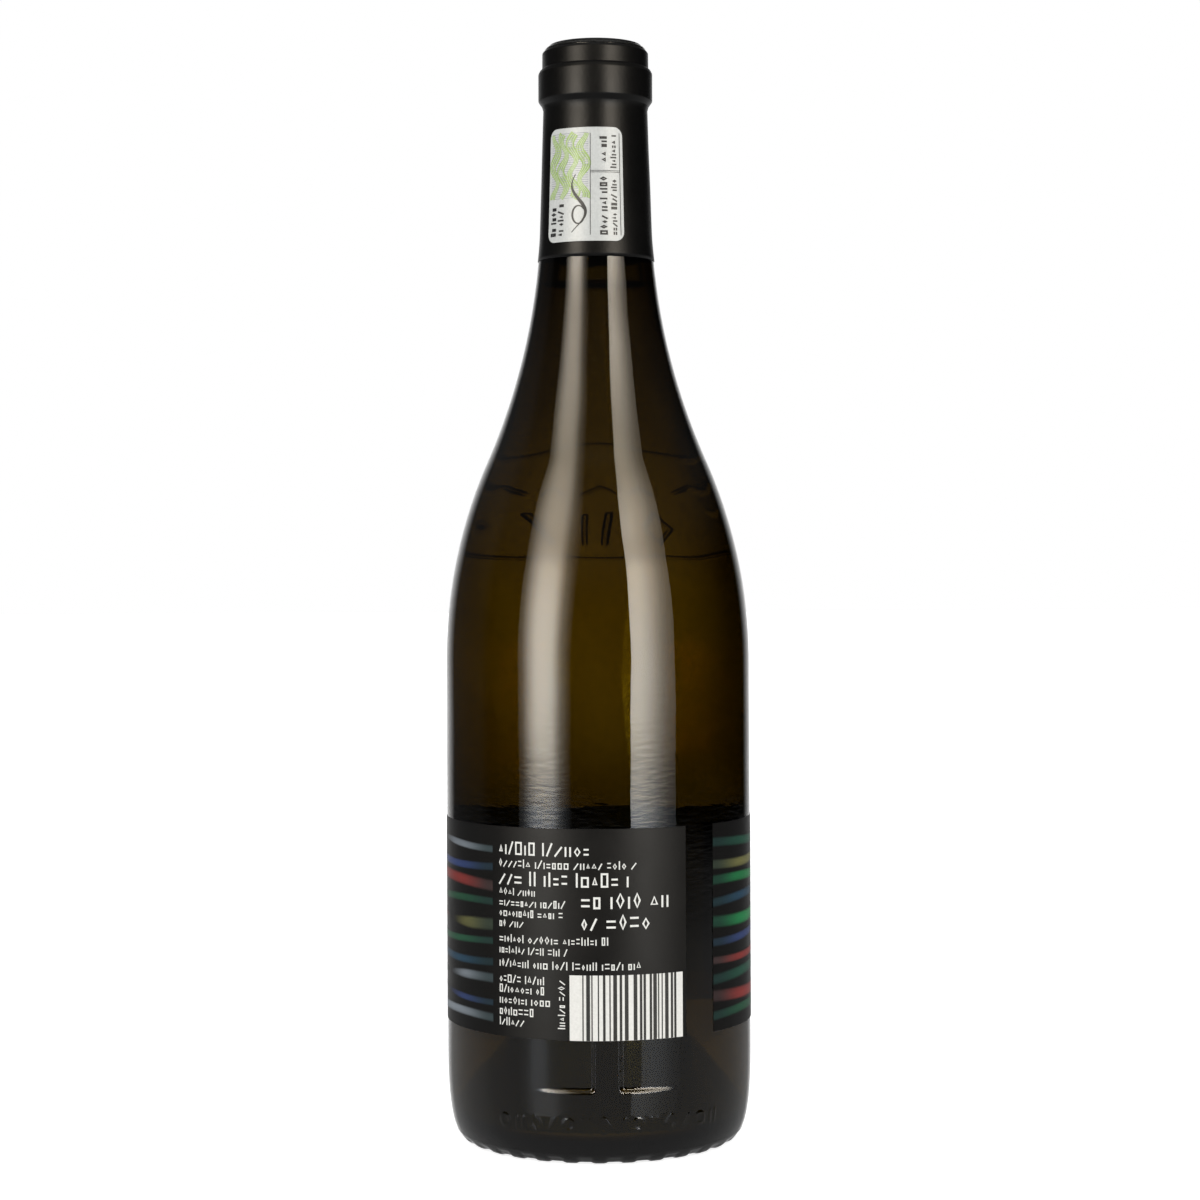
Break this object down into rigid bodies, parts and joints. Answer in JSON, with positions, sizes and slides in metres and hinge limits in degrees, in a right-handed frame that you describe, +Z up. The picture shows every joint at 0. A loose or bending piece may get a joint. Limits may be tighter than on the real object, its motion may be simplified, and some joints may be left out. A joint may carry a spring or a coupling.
{
  "type": "wine bottle",
  "caption": "Tall round glass bottle with sloping shoulders, full of pale wine, shut under a dark capsule, with a wrap-round label and a sticker on the neck.",
  "frame": {"origin": "middle of the circle that the bottle stands on, at the level of the surface under it", "axes": "+Z up along the bottle's axis to its mouth, -Y out of the rear of the label, +X to the right of someone who looks at the rear"},
  "size_m": [0.0832, 0.0831, 0.296],
  "materials": {
    "bottle_glass": "clear dark olive, glossy",
    "wine_liquid": "clear pale straw liquid",
    "capsule_foil": "satin black",
    "label_paper": "matte dark paper with pale printed marks and coloured stripes",
    "sticker_paper": "smooth pale paper with a printed pattern"
  },
  "bodies": {
    "root": {"bottle": "bottle_glass", "wine": "wine_liquid", "capsule": "capsule_foil", "wrap_label": "label_paper", "neck_sticker": "sticker_paper"}
  },
  "joints": []
}
